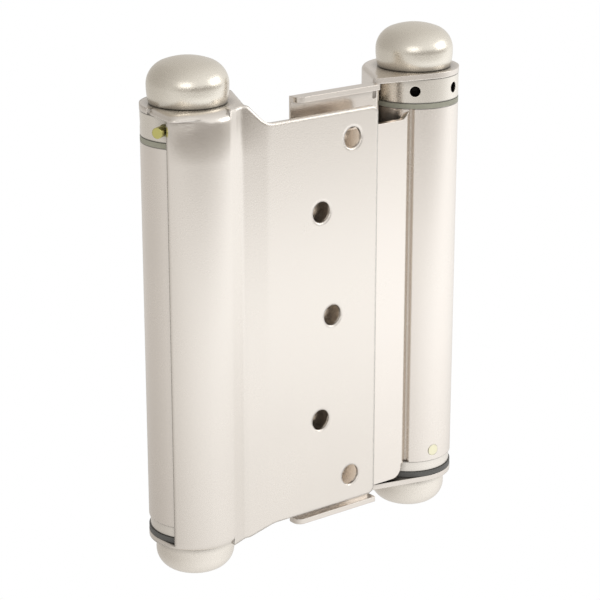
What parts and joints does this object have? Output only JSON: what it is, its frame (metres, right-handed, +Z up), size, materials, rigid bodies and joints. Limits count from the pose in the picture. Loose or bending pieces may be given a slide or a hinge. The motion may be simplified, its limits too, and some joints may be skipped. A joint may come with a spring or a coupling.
{
  "type": "double action cafe hinge",
  "caption": "Double action spring hinge: sprung barrels joined by a web, with a front leaf for a swing door and a rear leaf for its jamb.",
  "frame": {"origin": "on the jamb face of the rear leaf, midway between the two barrels and at mid-height", "axes": "+X from the left barrel to the right barrel, +Y into the jamb, +Z up along the barrels"},
  "size_m": [0.1094, 0.0306, 0.1508],
  "materials": {
    "satin_nickel": "satin",
    "nickel_cap": "satin",
    "green_washer": "matte",
    "dark_washer": "matte",
    "brass": "satin",
    "spring_steel": "satin"
  },
  "bodies": {
    "jamb_leaf": {"rear_leaf": "satin_nickel", "right_top_cap": "nickel_cap", "right_bottom_cap": "nickel_cap", "right_spindle": "spring_steel", "right_collar": "satin_nickel", "right_tension_pin": "brass"},
    "centre": {"centre_section": "satin_nickel", "left_upper_washer": "green_washer", "left_lower_washer": "dark_washer", "left_plug": "satin_nickel", "left_plug_pin": "brass", "left_spring": "spring_steel", "right_upper_washer": "green_washer", "right_lower_washer": "dark_washer", "right_plug": "satin_nickel", "right_plug_pin": "brass", "right_spring": "spring_steel"},
    "door_leaf": {"front_leaf": "satin_nickel", "left_top_cap": "nickel_cap", "left_bottom_cap": "nickel_cap", "left_spindle": "spring_steel", "left_collar": "satin_nickel", "left_tension_pin": "brass"}
  },
  "joints": [
    {"name": "jamb_pivot", "type": "hinge", "parent": "jamb_leaf", "child": "centre", "pos_m": [0.04015, 0.0059, 0], "axis": [0, 0, 1], "range_deg": [0, 110], "stiffness_Nm_per_rad": 0.4, "springref_deg": -34.38, "deforming": ["right_spring"]},
    {"name": "door_pivot", "type": "hinge", "parent": "centre", "child": "door_leaf", "pos_m": [-0.04015, 0.0059, 0], "axis": [0, 0, 1], "range_deg": [-110, 0], "stiffness_Nm_per_rad": 0.4, "springref_deg": 34.38, "deforming": ["left_spring"]}
  ]
}
